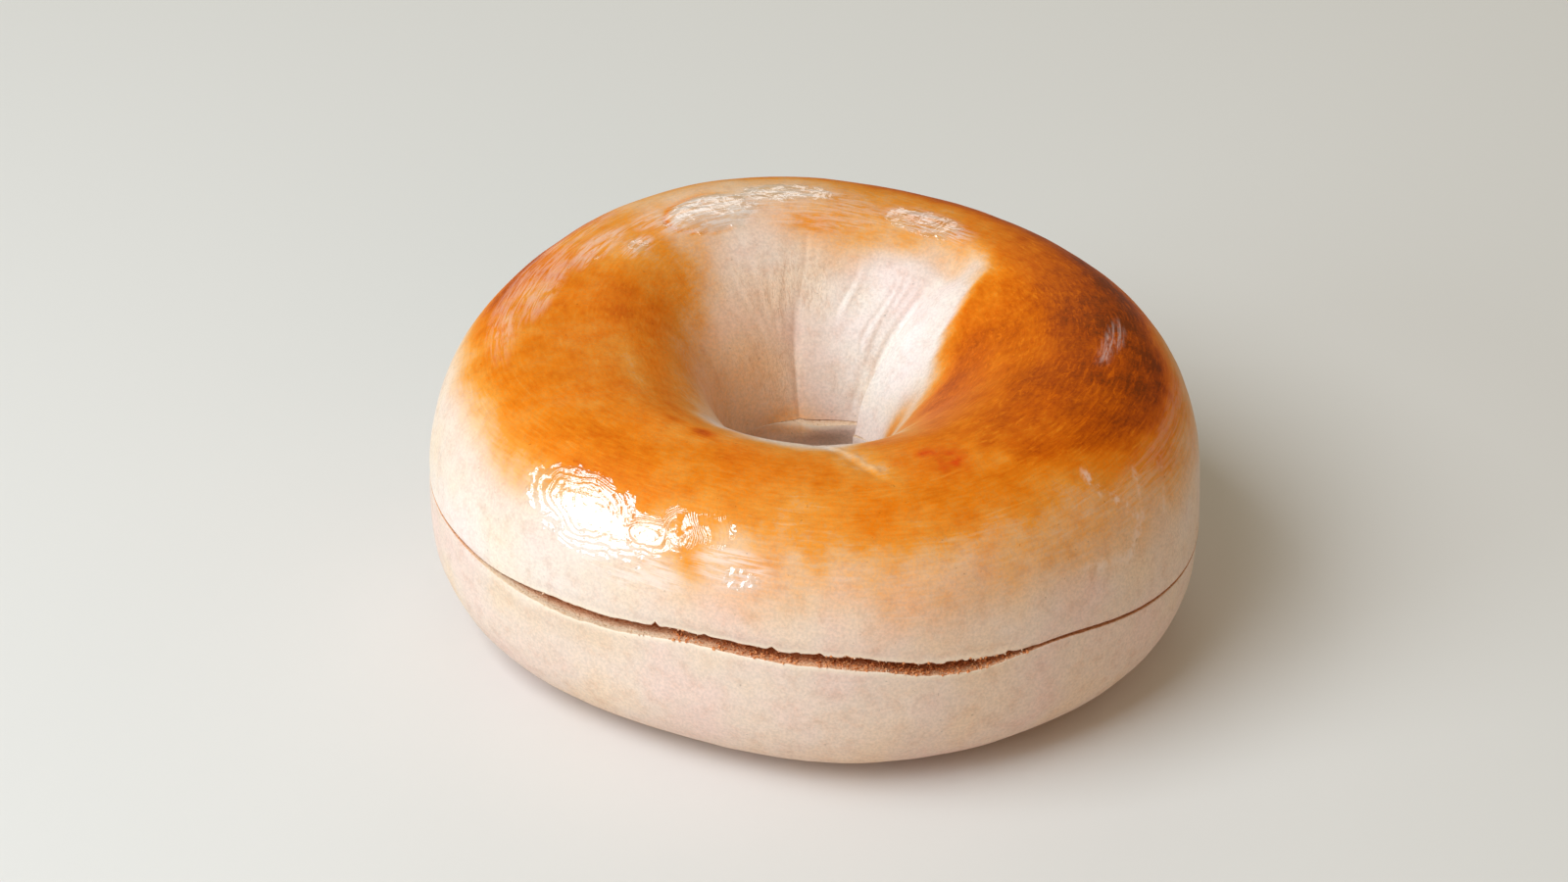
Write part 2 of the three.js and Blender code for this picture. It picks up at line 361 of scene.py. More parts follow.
def base_face(points):
    return cut_height(points) + torn(points, BASE_TEAR)


def crown_face(points):
    edge = torn(points, CROWN_TEAR) + teeth_and_notches(points)
    return cut_height(points) + slit_height(points) + edge


def stand_out(angle, below_cut, form):
    """How far a form of the base's edge stands out, less further below the cut."""
    fade = 1 - ease(0, form["height"], below_cut)
    return form["out"] * near(angle, form["toward"], form["spread"]) * fade


def dress_edge(points, angle, is_crown):
    """Moves the skin in or out near the cut, as its half of the bagel does there."""
    radius = radius_of(points)
    above_cut = points[..., 2] - cut_height(points)
    if is_crown:
        fade = 1 - ease(0, CROWN_TUCK["height"], above_cut - SLIT["height"])
        outside = -CROWN_TUCK["in"] * slit_share(angle) * fade
        in_hole = 0
    else:
        outside = stand_out(angle, -above_cut, BASE_LIP)
        in_hole = stand_out(angle, -above_cut, HOLE_LEDGE)
    shift = np.where(radius < CREST_RADIUS, in_hole, outside)
    return point_at(angle, radius + shift, points[..., 2])


def edge_place(angle, below, above, face):
    """Where the crust meets a cut face, between two places round the section."""
    low = np.full_like(angle, below)
    high = np.full_like(angle, above)
    for _ in range(BISECTIONS):
        middle = (low + high) / 2
        points = crust_point(angle, middle)
        is_below = points[..., 2] < face(points)
        low = np.where(is_below, middle, low)
        high = np.where(is_below, high, middle)
    return (low + high) / 2


def directions():
    """Directions of the mesh's columns, closer together in front and at the hole's far wall."""
    turn = np.linspace(0, 360, DIRECTION_STEPS + 1)
    density = 1
    for extra, toward, spread in COLUMN_DENSITY:
        density = density + extra * near(turn, toward, spread)
    share = np.concatenate([[0], np.cumsum((density[1:] + density[:-1]) / 2)])
    return np.interp(np.arange(COLUMNS) / COLUMNS, share / share[-1], turn)


def row_places(skin, rows):
    """Where the rows of one column lie along its fine line, closer together at the cut edges."""
    steps = np.linalg.norm(np.diff(skin, axis=0), axis=1)
    length = np.concatenate([[0], np.cumsum(steps)])
    middle = (length[1:] + length[:-1]) / 2
    near_edge = np.exp(-middle / EDGE_STRETCH) + np.exp(-(length[-1] - middle) / EDGE_STRETCH)
    share = np.concatenate([[0], np.cumsum(steps * (1 + EDGE_DENSITY * near_edge))])
    return np.interp(np.linspace(0, share[-1], rows), share, np.arange(len(skin)))


def half_grid(face, is_crown, rows):
    """One half without its relief, as columns of points: the skin from one cut edge to the other
    and then the cut face. Gives the columns' directions, the points, and where round the
    section each of the skin's points is."""
    angle = directions()
    turn = angle[:, None]
    outer_edge = edge_place(angle, *OUTER_EDGE_BETWEEN, face)
    inner_edge = edge_place(angle, *INNER_EDGE_BETWEEN, face)
    start = outer_edge if is_crown else inner_edge
    end = inner_edge if is_crown else outer_edge + 360
    fine = start[:, None] + (end - start)[:, None] * np.linspace(0, 1, FINE_STEPS)
    skin = dress_edge(crust_point(turn, fine), turn, is_crown)
    places = np.stack([row_places(column, rows) for column in skin])
    low = np.floor(places).astype(int).clip(0, FINE_STEPS - 2)
    share = places - low
    column = np.arange(COLUMNS)[:, None]
    skin = skin[column, low] * (1 - share[..., None]) + skin[column, low + 1] * share[..., None]
    around = fine[column, low] * (1 - share) + fine[column, low + 1] * share
    radius = radius_of(skin)
    spread = 0.5 - 0.5 * np.cos(np.pi * np.arange(1, FACE_ROWS) / FACE_ROWS)
    cut = point_at(turn, radius[:, -1:] + (radius[:, :1] - radius[:, -1:]) * spread, 0)
    cut[..., 2] = face(cut)
    return angle, np.concatenate([skin, cut], axis=1), around


def grid_normals(grid):
    along = np.roll(grid, -1, axis=0) - np.roll(grid, 1, axis=0)
    across = np.roll(grid, -1, axis=1) - np.roll(grid, 1, axis=1)
    normal = np.cross(along, across)
    return normal / np.linalg.norm(normal, axis=-1, keepdims=True)


LUMPS = ((0.24, 17, 5), (0.12, 8, 6), (0.03, 3.2, 7))  # layers of the crust's low lumps
RELIEF_FADE = 1.4  # mm from a cut edge within which the skin's relief fades

# Fine creases in the hole's wall: direction at the foot and at the top, where round the section
# they start and end, width, and depth, which is less than 0 for a ridge.
CREASES = (
    (62.5, 52.0, 152, 116, 0.42, 0.32),
    (64.0, 55.0, 146, 118, 0.34, 0.2),
    (65.5, 57.8, 147, 118, 0.34, 0.22),
    (70.0, 60.5, 146, 120, 0.34, 0.2),
    (69.0, 66.0, 168, 142, 0.5, 0.12),
    (81.5, 75.5, 137, 121, 0.36, 0.15),
    (79.0, 73.5, 137, 120, 0.5, -0.2),
    (98.0, 92.5, 150, 108, 0.5, 0.16),
    (96.5, 90.0, 148, 112, 0.6, 0.09),
    (94.0, 85.0, 146, 110, 0.7, 0.08),
    (103.0, 99.0, 148, 112, 0.6, 0.1),
    (107.0, 107.0, 146, 122, 0.5, 0.12),
    (110.0, 113.0, 146, 116, 0.6, 0.09),
    (114.0, 121.0, 146, 122, 0.5, 0.1),
    (120.0, 129.0, 146, 124, 0.6, 0.07),
)
CREASE_FADES = (-4, 8, -6, 4)  # from a crease's end twice and from its start twice, to its stops
CREASE_WANDER = ((0.5, 7, 15),)


def creases(angle, around, points):
    """How deep the fine creases are at each point, in millimetres."""
    radius = radius_of(points)
    wander = layered(points, CREASE_WANDER)
    depth = 0
    for foot, top, start, end, width, deep in CREASES:
        upward = 1 - ease(end, start, around)
        beside = arc_from(angle, foot + (top - foot) * upward, radius) + wander
        stops = np.array([end, end, start, start]) + CREASE_FADES
        depth = depth + deep * bell(beside, width) * window(around, stops)
    return depth


# The blister behind the hole: an oval of thin skin with a sharp, browner rim on its left. The
# widths of the rim, and the spans over which it starts, are shares of the blister's own size.
BLISTER = {
    "direction": 117,
    "around": 95,
    "half_length": 7.2,
    "half_width": 4.6,
    "height": 0.2,
    "edge": (0.7, 1.05),
    "rim": {"amount": 0.14, "width": 0.09, "start": (-0.35, 0.3)},
    "brown_rim": {"amount": 0.5, "width": 0.07, "start": (-0.6, 0.2)},
}


def blister_place(angle, around):
    """How far out in the blister a point is (1 at its rim) and how far to its left."""
    left = arc_from(angle, BLISTER["direction"], CREST_RADIUS) / BLISTER["half_length"]
    across = np.radians(around - BLISTER["around"]) * SECTION_ARC / BLISTER["half_width"]
    return np.hypot(left, across), left


def blister_rim(out, left, rim):
    return rim["amount"] * bell(out - 1, rim["width"]) * ease(*rim["start"], left)


def blister(angle, around):
    """How far the blister stands out."""
    out, left = blister_place(angle, around)
    inside = 1 - ease(*BLISTER["edge"], out)
    return BLISTER["height"] * inside - blister_rim(out, left, BLISTER["rim"])


# The seam frays in layers of noise. It has a rough ridge with a groove beside it, and the crust
# is paler along it: amount, millimetres to the side, and width.
SEAM_STRAY = (1.1, 8, 23)
SEAM_ROUGH = ((1, 1.1, 22),)
SEAM_TOP_END = 140  # where round the section it ends at the latest
SEAM_RIDGE = {
    "fray": ((0.6, 2.4, 21), SEAM_STRAY),
    "stops": (-0.5, 0.1, 0.7, 1.1),
    "lines": ((0.17, 0.5, 0.5), (-0.07, -0.6, 0.5)),
}
SEAM_PALE = {
    "fray": ((1.1, 2.4, 74), SEAM_STRAY),
    "stops": (-0.8, -0.1, 0.55, 1.05),
    "lines": ((0.3, 0.3, 2.6), (0.24, 0.3, 0.7)),
}


def seam_lines(angle, around, points, form):
    """The strength of each line of the frayed seam."""
    share, beside = seam_place(angle, radius_of(points))
    beside = beside + layered(points, form["fray"])
    strength = window(share, form["stops"]) * (around < SEAM_TOP_END)
    return [amount * bell(beside - side, width) * strength for amount, side, width in form["lines"]]


def skin_relief(angle, around, points):
    """How far the skin stands out from its smooth form."""
    ridge, groove = seam_lines(angle, around, points, SEAM_RIDGE)
    seam = ridge * (1 + layered(points, SEAM_ROUGH)) + groove
    return layered(points, LUMPS) + seam - creases(angle, around, points) + blister(angle, around)


def edge_fade(grid, rows, reach):
    """0 on the cut edges, rising to 1 on the skin `reach` millimetres away."""
    skin = grid[:, :rows]
    steps = np.linalg.norm(np.diff(skin, axis=1), axis=-1)
    from_start = np.concatenate([np.zeros((COLUMNS, 1)), np.cumsum(steps, axis=1)], axis=1)
    from_end = from_start[:, -1:] - from_start
    return ease(0, reach, np.minimum(from_start, from_end))


def periodic(angle, places):
    """A value that is set at a few directions and runs smoothly between them."""
    turns = np.array([place for place, _ in places])
    values = np.array([value for _, value in places])
    turns = np.concatenate([turns[-1:] - 360, turns, turns[:1] + 360])
    values = np.concatenate([values[-1:], values, values[:1]])
    turn = angle % 360
    index = np.searchsorted(turns, turn, side="right").clip(1, len(turns) - 1)
    share = ease(turns[index - 1], turns[index], turn)
    return values[index - 1] + (values[index] - values[index - 1]) * share


# The middle of the browning's outer and inner edge round the section, how wide they fade, and
# how brown the crust is between them, by direction.
BROWN_FROM = (
    (0, 44), (20, 47), (60, 48), (100, 50), (150, 49), (180, 49), (204, 50), (222, 46),
    (240, 46), (252, 48), (264, 49), (276, 51), (288, 52), (300, 53), (312, 55), (324, 48),
    (336, 45), (348, 44),
)
FROM_WIDTH = (
    (0, 16), (60, 16), (180, 18), (225, 19), (250, 20), (270, 22), (290, 18), (305, 15), (335, 15),
)
BROWN_TO = (
    (0, 139), (12, 136), (21, 134), (29, 127), (33, 116), (36, 106), (42, 99), (54, 101), (66, 110),
    (78, 116), (90, 114), (100, 109), (112, 104), (120, 114), (128, 125), (142, 132), (156, 133),
    (168, 133), (180, 134), (192, 134), (204, 132), (216, 127), (230, 114), (240, 106), (252, 101),
    (266, 100), (276, 105), (288, 116), (300, 122), (312, 131), (324, 140), (336, 146), (348, 145),
)
TO_WIDTH = (
    (0, 12), (12, 9), (33, 9), (44, 20), (60, 17), (90, 14), (130, 16), (190, 20), (216, 16), (240, 8),
    (290, 9), (330, 14),
)
BROWN_DEPTH = (
    (0, 1.33), (14, 1.27), (26, 1.14), (38, 1.02), (50, 0.85), (62, 0.7), (74, 0.6), (86, 0.55),
    (98, 0.32), (110, 0.24), (118, 0.26), (127, 0.42), (138, 0.76), (160, 0.96), (176, 1.0),
    (216, 0.98), (232, 0.95), (246, 0.92), (262, 0.86), (284, 0.82), (296, 0.98), (312, 1.18),
    (336, 1.32),
)
# The tan skirt below the orange: how brown it is, by direction, and where round it fades in.
SKIRT_DEPTH = (
    (0, 0.42), (20, 0.25), (60, 0.12), (180, 0.06), (236, 0.08), (250, 0.22), (264, 0.33),
    (276, 0.38), (288, 0.4), (300, 0.46), (312, 0.5), (324, 0.54), (336, 0.54), (348, 0.5),
)
SKIRT_FADE = (6, 36)
# How far the browning's edges stray round the section, and the share of it at the inner edge.
EDGE_STRAYS = ((6, 13, 71), (3.5, 5, 72), (1.6, 2.2, 73))
INNER_STRAY = 0.6
# Clouds in the browning, which grow with it and weaken in the darkest brown.
CLOUDS = ((0.11, 9, 75), (0.1, 4, 76), (0.05, 1.8, 77))
CLOUDS_GROW = (0.15, 0.7)
CLOUDS_WEAKEN = {"span": (1.05, 1.3), "by": 0.5}
# Patches: direction, around, spreads of both, and how much browner.
BROWN_PATCHES = (
    (297, 82, 3.4, 5, 0.1),
    (306, 76, 4, 5, -0.3),
    (240, 95, 3.4, 4, 0.45),
    (231, 97, 4, 3, 0.25),
    (250, 88, 6, 5, 0.15),
    (355, 80, 30, 14, 0.18),
    (20, 66, 20, 10, 0.2),
    (342, 56, 20, 13, 0.24),
    (342, 112, 26, 15, -0.2),
    (250, 26, 12, 8, 0.06),
    (172, 104, 10, 8, 0.15),
    (37, 104, 6, 6, -0.35),
    (112, 145, 26, 30, 0.12),
    (92, 106, 7, 6, 0.35),
    (60, 108, 20, 5, 0.2),
    (70, 57, 40, 9, 0.5),
    (78, 68, 46, 7, 0.45),
    (142, 54, 34, 9, 0.62),
    (203, 104, 16, 3.5, -0.22),
    (262, 70, 9, 10, -0.12),
    (255, 47, 5, 8, -0.22),
    (145, 90, 6, 6, -0.12),
    (256, 56, 4, 6, 0.12),
    (249.5, 36, 2.6, 9, 0.35),
    (226, 58, 8, 5, 0.12),
    (48, 122, 9, 9, -0.3),
    # This patch and the next darken the feet of the hole's right and far walls, where shade falls:
    # painted shade.
    (8, 158, 14, 11, 0.8),
    (108, 171, 22, 7, 0.3),
)
# Painted shade: the pale wall of the hole is made tan on the left, where it faces away from the key
# light, and on the base at its far side, which lies in shade under the crown.
HOLE_WALL_PAINTED_SHADE = ((160, 154, 50, 24, 0.34),)
BASE_WALL_PAINTED_SHADE = ((95, 188, 45, 16, 0.08),)
# Patches where the pale crust is whiter, in the same way: partly paler dough and partly painted light, on
# the hole's lit right flank and low on the left where the key light falls hardest; the one under the
# front-left highlight is painted highlight.
PALE_AND_PAINTED_LIGHT_PATCHES = (
    (60, 142, 44, 26, 0.3),
    (204, -12, 34, 34, 0.16),
    (236, -14, 22, 14, 0.08),
    (229, 36, 13, 14, 0.12),
)
PALE_END = 0.5  # how brown the crust is where they end
# Patches where the crust is blistered red, in the same way, and the unevenness of the red.
RED_PATCHES = (
    (297, 83, 3.2, 6.5, 0.5),
    (293.5, 88, 1.9, 1.5, 0.9),
    (295.5, 84, 0.9, 4.5, 1),
    (298.5, 80, 1, 4, 0.9),
    (301, 85, 0.9, 3.5, 0.7),
    (287, 86, 2, 1.6, 0.25),
    (241, 96, 3, 3, 0.3),
)
RED_MEAN = 0.9
RED_SPOTS = ((0.8, 1.3, 78),)


def patch_sum(angle, around, patches):
    total = 0
    for direction, middle, wide, tall, amount in patches:
        total = total + amount * near(angle, direction, wide) * bell(around - middle, tall)
    return total


def browning_and_painted_light(angle, around, points):
    """How brown the crust is: -0.25 whitish, 0 pale, 0.5 tan, 1 orange, 1.5 dark brown. It also holds
    painted shade on the hole's walls, and whiter patches that are partly painted light.
    """
    stray = layered(points, EDGE_STRAYS)
    place = around + stray
    start, start_width = periodic(angle, BROWN_FROM), periodic(angle, FROM_WIDTH)
    end, end_width = periodic(angle, BROWN_TO), periodic(angle, TO_WIDTH)
    shoulder = ease(-1, 1, (place - start) / start_width)
    throat = 1 - ease(-1, 1, (around + INNER_STRAY * stray - end) / end_width)
    value = shoulder * throat * periodic(angle, BROWN_DEPTH)
    skirt = periodic(angle, SKIRT_DEPTH) * ease(*SKIRT_FADE, place) * throat
    value = value + skirt * (1 - np.minimum(1, value)) + patch_sum(angle, around, BROWN_PATCHES)
    weaker = 1 - CLOUDS_WEAKEN["by"] * ease(*CLOUDS_WEAKEN["span"], value)
    value = value + layered(points, CLOUDS) * ease(*CLOUDS_GROW, value) * weaker
    value = value + blister_rim(*blister_place(angle, around), BLISTER["brown_rim"])
    # Whiter patches, partly painted light and painted highlight.
    pale = patch_sum(angle, around, PALE_AND_PAINTED_LIGHT_PATCHES) * (1 - ease(0, PALE_END, value))
    value = np.maximum(0, value * (1 - sum(seam_lines(angle, around, points, SEAM_PALE))))
    # Painted shade on the hole's left wall.
    return value + patch_sum(angle, around, HOLE_WALL_PAINTED_SHADE) - pale


def redness(angle, around, points):
    spots = RED_MEAN + layered(points, RED_SPOTS)
    return np.clip(patch_sum(angle, around, RED_PATCHES) * spots, 0, 1)


# Glossy films of wrinkled skin: direction, around, reach along and across the rope in degrees,
# how far they lean, and how far they close up: 1 is whole, less breaks into droplets.
FILMS = (
    (229, 41, 13, 17, -0.2, 1.0),
    (241, 40, 6, 9, 0, 0.85),
    (246.5, 46, 4, 12, 0, 0.72),
    (252, 50, 5, 9, 0, 0.5),
    (257.5, 32, 3.5, 5, 0, 0.75),
    (236, 24, 8, 5, 0, 0.45),
    (117, 96, 13, 12, 0, 0.85),
    (96, 87, 12, 7, 0, 0.8),
    (62, 92, 11, 9, 0, 0.8),
    (141, 96, 3.5, 4, 0, 0.8),
    (152, 84, 10, 5, 0, 0.45),
)
# Whitish veils, partly dry flour-like skin and partly painted sheen: at the back and along the left and
# right rims they stand in for the glaze's reflections of the lights. The same, with how white.
HAZES_AND_PAINTED_SHEENS = (
    (117, 95, 14, 11, 0, 0.75),
    (97, 87, 13, 6, 0, 0.6),
    (61, 92, 12, 8, 0, 0.6),
    (156, 68, 28, 9, 0, 0.25),
    (141, 96, 5, 5, 0, 0.5),
    (146, 84, 9, 5, 0, 0.36),
    (130, 88, 6, 5, 0, 0.4),
    (163, 78, 12, 5, 0, 0.26),
    (351, 75, 8, 3, -0.3, 0.3),
    (338, 34, 22, 12, 0, 0.15),
    (238, 26, 10, 8, 0, 0.5),
    (256, 36, 6, 8, 0, 0.5),
    (248, 0, 2.4, 3, 0, 0.9),
    (254, -3, 2.2, 3, 0, 1),
    (90, 96, 18, 14, 0, 0.25),
)
FILM_EDGE = (0.7, 1.3)  # shares of their reach between which films and hazes fade
RINGED = 3  # the first films are wrinkled in rings, the others without order
RINGS_END = 3.0  # how far out the rings are counted, in the same shares

# Painted highlights: whitish scratch-like streaks low on the right that stand in for glints of the light
# on the wrinkled glaze: where each starts and ends (direction, around), its width in millimetres and how
# white it is.
CLAW_HIGHLIGHTS = (
    (317, 55, 317.5, 42, 0.35, 0.5),
    (318, 46, 323, 26, 0.35, 0.55),
    (326, 44, 323.5, 25, 0.3, 0.4),
    (322.5, 24, 319, 16, 0.6, 0.4),
    (319, 17, 311, 21, 0.6, 0.35),
    (332, 37, 329, 22, 0.4, 0.35),
)
CLAW_TURN = 0.9  # millimetres per degree of direction there
CLAW_AROUND = 0.38  # and per degree round the section
CLAW_WANDER = ((0.5, 1.8, 79),)


def claw_highlights(angle, around, points):
    """How white the painted highlight streaks are at each point."""
    white = 0
    wander = layered(points, CLAW_WANDER)
    for start, start_around, end, end_around, width, amount in CLAW_HIGHLIGHTS:
        along = turn_from(angle, start) * CLAW_TURN
        across = (around - start_around) * CLAW_AROUND
        span_along = (end - start) * CLAW_TURN
        span_across = (end_around - start_around) * CLAW_AROUND
        share = (along * span_along + across * span_across) / (span_along**2 + span_across**2)
        share = np.clip(share, 0, 1)
        off = np.hypot(along - share * span_along, across - share * span_across) + wander
        white = np.maximum(white, amount * bell(off, width))
    return white


def film_strength(angle, around, films):
    """The strength of the strongest film at each point, and how far out in it the point is."""
    strength = 0
    reach = RINGS_END
    for i, (direction, middle, wide, tall, lean, amount) in enumerate(films):
        along = turn_from(angle, direction)
        off = np.hypot(along / wide, (around - middle - lean * along) / tall)
        strength = np.maximum(strength, amount * (1 - ease(*FILM_EDGE, off)))
        if i < RINGED:
            reach = np.minimum(reach, off)
    return strength, reach


# Painted highlight along the cut edges, where the crust's edge catches the light: how far it reaches from
# the edge, and where and how strongly it shows on the base's edge in the hole.
CUT_EDGE_HIGHLIGHT = {"reach": 1.1, "hole_toward": 90, "hole_reach": 50, "in_hole": 1.3}
# The cut face's painted shade is lighter along the crust, nearer the light: wholly for "solid"
# millimetres, and then over a width. Between the stops, where the key light reaches the base's face, it
# is fully so; outside them it is so by the least share.
CRUMB_LIT_EDGE = {"solid": 0.6, "width": 1.3, "least": 0.35, "stops": (203, 212, 236, 262), "hole": 3}
WALL = {"stops": (104, 124, 172, 196), "toward": 96, "spread": 58}  # where the hole is hatched
FLOW_SQUEEZE = 0.3  # share of a length along the rope that the streaks' pattern counts
FACE_PADDING = ((0, 0), (0, FACE_ROWS - 1))


def with_face(values, on_face=0):
    """The skin's values, and one value for all of the cut face."""
    return np.pad(values, FACE_PADDING, constant_values=on_face)


def cut_edge_highlight(turn, around, grid, is_crown, rows):
    """How strong the painted highlight along the cut edges is, at the slit and on the base in the hole.
    """
    off = abs(turn_from(turn, CUT_EDGE_HIGHLIGHT["hole_toward"])) / CUT_EDGE_HIGHLIGHT["hole_reach"]
    in_hole = 0 if is_crown else (1 - ease(0, 1, off)) * CUT_EDGE_HIGHLIGHT["in_hole"]
    is_outer = np.cos(np.radians(around)) > 0
    return (1 - edge_fade(grid, rows, CUT_EDGE_HIGHLIGHT["reach"])) * np.where(is_outer, slit_share(turn), in_hole)


def crumb_lit_edge(turn, grid, rows, hole_row):
    """How much lighter the cut face's painted shade is near the crust, outside and in the hole."""
    radius = radius_of(grid)
    inward = radius[:, :rows].max(axis=1, keepdims=True) - radius - CRUMB_LIT_EDGE["solid"]
    least = CRUMB_LIT_EDGE["least"]
    outside = bell(np.maximum(0, inward), CRUMB_LIT_EDGE["width"])
    outside = outside * (least + (1 - least) * window(turn, CRUMB_LIT_EDGE["stops"]))
    return np.maximum(outside, bell(radius - radius[:, hole_row : hole_row + 1], CRUMB_LIT_EDGE["hole"]))


def flow_place(turn, around):
    """Where a point is in the streaks' pattern, which is drawn out along the rope."""
    arc = np.radians(np.pad(around, FACE_PADDING, mode="edge")) * SECTION_ARC
    return point_at(turn, CREST_RADIUS * FLOW_SQUEEZE, arc)


def mesh_from_grid(name, grid, rows, hole_row):
    """A closed ring mesh in metres, with the cut face in the second material and a sharp edge in
    the hole."""
    columns, across = grid.shape[:2]
    column, row = np.meshgrid(np.arange(columns), np.arange(across), indexing="ij")
    next_column, next_row = (column + 1) % columns, (row + 1) % across
    corners = ((column, row), (next_column, row), (next_column, next_row), (column, next_row))
    faces = np.stack([line * across + step for line, step in corners], axis=-1).reshape(-1, 4)
    mesh = bpy.data.meshes.new(name)
    mesh.vertices.add(columns * across)
    mesh.vertices.foreach_set("co", (grid.reshape(-1, 3) * MM).ravel().astype(np.float32))
    mesh.loops.add(faces.size)
    mesh.loops.foreach_set("vertex_index", faces.ravel().astype(np.int32))
    mesh.polygons.add(len(faces))
    mesh.polygons.foreach_set("loop_start", np.arange(len(faces), dtype=np.int32) * 4)
    is_cut = (np.tile(np.arange(across), columns) >= rows - 1).astype(np.int32)
    mesh.update(calc_edges=True)
    mesh.polygons.foreach_set("material_index", is_cut)
    mesh.shade_smooth()
    ends = np.empty(2 * len(mesh.edges), dtype=np.int32)
    mesh.edges.foreach_get("vertices", ends)
    is_sharp = (ends.reshape(-1, 2) % across == hole_row).all(axis=1)
    mesh.attributes.new("sharp_edge", "BOOLEAN", "EDGE").data.foreach_set("value", is_sharp)
    return mesh


def set_attribute(mesh, name, values, kind="FLOAT"):
    attribute = mesh.attributes.new(name, kind, "POINT")
    field = "value" if kind == "FLOAT" else "vector"
    attribute.data.foreach_set(field, np.ascontiguousarray(values, dtype=np.float32).ravel())


def add_object(name, data):
    thing = bpy.data.objects.new(name, data)
    bpy.context.collection.objects.link(thing)
    return thing


def make_half(name, face, is_crown, rows, materials):
    """One half's piece, the directions of its columns, and their points."""
    angle, grid, around = half_grid(face, is_crown, rows)
    turn = angle[:, None]
    relief = skin_relief(turn, around, grid[:, :rows]) * edge_fade(grid, rows, RELIEF_FADE)
    grid = grid + grid_normals(grid) * with_face(relief)[..., None]
    grid[..., 2] = np.maximum(0, grid[..., 2])
    skin = grid[:, :rows]
    hole_row = rows - 1 if is_crown else 0
    film, rings = film_strength(turn, around, FILMS)
    on_skin = {
        "browning_and_painted_light": browning_and_painted_light(turn, around, skin) + (0 if is_crown else patch_sum(turn, around, BASE_WALL_PAINTED_SHADE)),
        "red": redness(turn, around, skin),
        "claw_highlight": claw_highlights(turn, around, skin),
        "wall": window(around, WALL["stops"]) * near(turn, WALL["toward"], WALL["spread"]),
        "film": film,
        # The haze carries painted sheen, and the rim is a painted highlight along the cut edges.
        "haze_and_sheen": film_strength(turn, around, HAZES_AND_PAINTED_SHEENS)[0],
        "rim": cut_edge_highlight(turn, around, grid, is_crown, rows),
    }

    mesh = mesh_from_grid(name, grid + np.array([*AXIS_PLACE, 0]), rows, hole_row)
    for attribute, values in on_skin.items():
        set_attribute(mesh, attribute, with_face(values))
    set_attribute(mesh, "rings", with_face(rings, RINGS_END))
    set_attribute(mesh, "flow", flow_place(turn, around) * MM, "FLOAT_VECTOR")
    # The cut face's painted shade is lighter near the crust.
    set_attribute(mesh, "crumb_lit_edge", crumb_lit_edge(turn, grid, rows, hole_row))
    for material in materials:
        mesh.materials.append(material)
    piece = add_object(name, mesh)
    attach(piece, "root")
    return piece, angle, grid


# Crumbs stuck along both lips of the slit: the torn grains of its inside, in the cut face's painted-shade
# colour, and pale bits of crust.
GRAINS = {
    "count": 760,
    "sizes": (0.1, 0.3),
    "stretches": ((246, 266), (264, 300), (268, 298), (272, 294)),
    "inward": (-0.02, 2.2),
    "seed": 8,
}
BITS = {
    "count": 170,
    "sizes": (0.06, 0.18),
    "stretches": ((221, 262), (262, 301), (270, 298)),
    "inward": (-0.12, 0.5),
    "seed": 9,
}
CRUMB_ROUND = 7
CRUMB_RINGS = 4
CRUMB_LUMPS = (0.5, 1.4)  # shares of its size that a crumb's points are from its middle
CRUMB_STRETCH = (0.5, 1.1)
CRUMB_RISE = 0.25  # share of its size that a crumb's middle is off its lip


def crumb_shape(chance, size):
    """The points and faces of one lumpy crumb round the origin, millimetres."""
    points = [(0, 0, -1)]
    for ring in range(1, CRUMB_RINGS):
        rise = math.pi * (ring / CRUMB_RINGS - 0.5)
        for step in range(CRUMB_ROUND):
            turn = math.tau * step / CRUMB_ROUND
            reach = math.cos(rise)
            points.append((reach * math.cos(turn), reach * math.sin(turn), math.sin(rise)))
    points.append((0, 0, 1))
    points = np.array(points) * chance.uniform(*CRUMB_LUMPS, (len(points), 1))
    points = points * size * chance.uniform(*CRUMB_STRETCH, 3)
    last = len(points) - 1
    faces = []
    for step in range(CRUMB_ROUND):
        beside = (step + 1) % CRUMB_ROUND
        faces.append((0, 1 + beside, 1 + step))
        faces.append((last, last - CRUMB_ROUND + step, last - CRUMB_ROUND + beside))
        for ring in range(CRUMB_RINGS - 2):
            low = 1 + ring * CRUMB_ROUND
            high = low + CRUMB_ROUND
            faces.append((low + step, low + beside, high + beside, high + step))
    return points, faces


def make_crumbs(name, settings, lips, angle, material):
    """Crumbs along the slit's lips, each of which is a line of points and the way it faces."""
    chance = np.random.default_rng(settings["seed"])
    points, faces = [], []
    for _ in range(settings["count"]):
        start, end = settings["stretches"][chance.integers(len(settings["stretches"]))]
        column = np.searchsorted(angle, chance.uniform(start, end))
        lip, faces_up = lips[chance.integers(len(lips))]
        edge = lip[column]
        inward = chance.uniform(*settings["inward"]) / np.hypot(edge[0], edge[1])
        size = chance.uniform(*settings["sizes"])
        rise = CRUMB_RISE * size * (1 if faces_up else -1)
        middle = edge * np.array([1 - inward, 1 - inward, 1]) + np.array([*AXIS_PLACE, rise])
        body, sides = crumb_shape(chance, size)
        faces.extend(tuple(index + len(points) for index in side) for side in sides)
        points.extend(map(tuple, (body + middle) * MM))
    mesh = bpy.data.meshes.new(name)
    mesh.from_pydata(points, [], faces)
    mesh.materials.append(material)
    piece = add_object(name, mesh)
    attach(piece, "root")


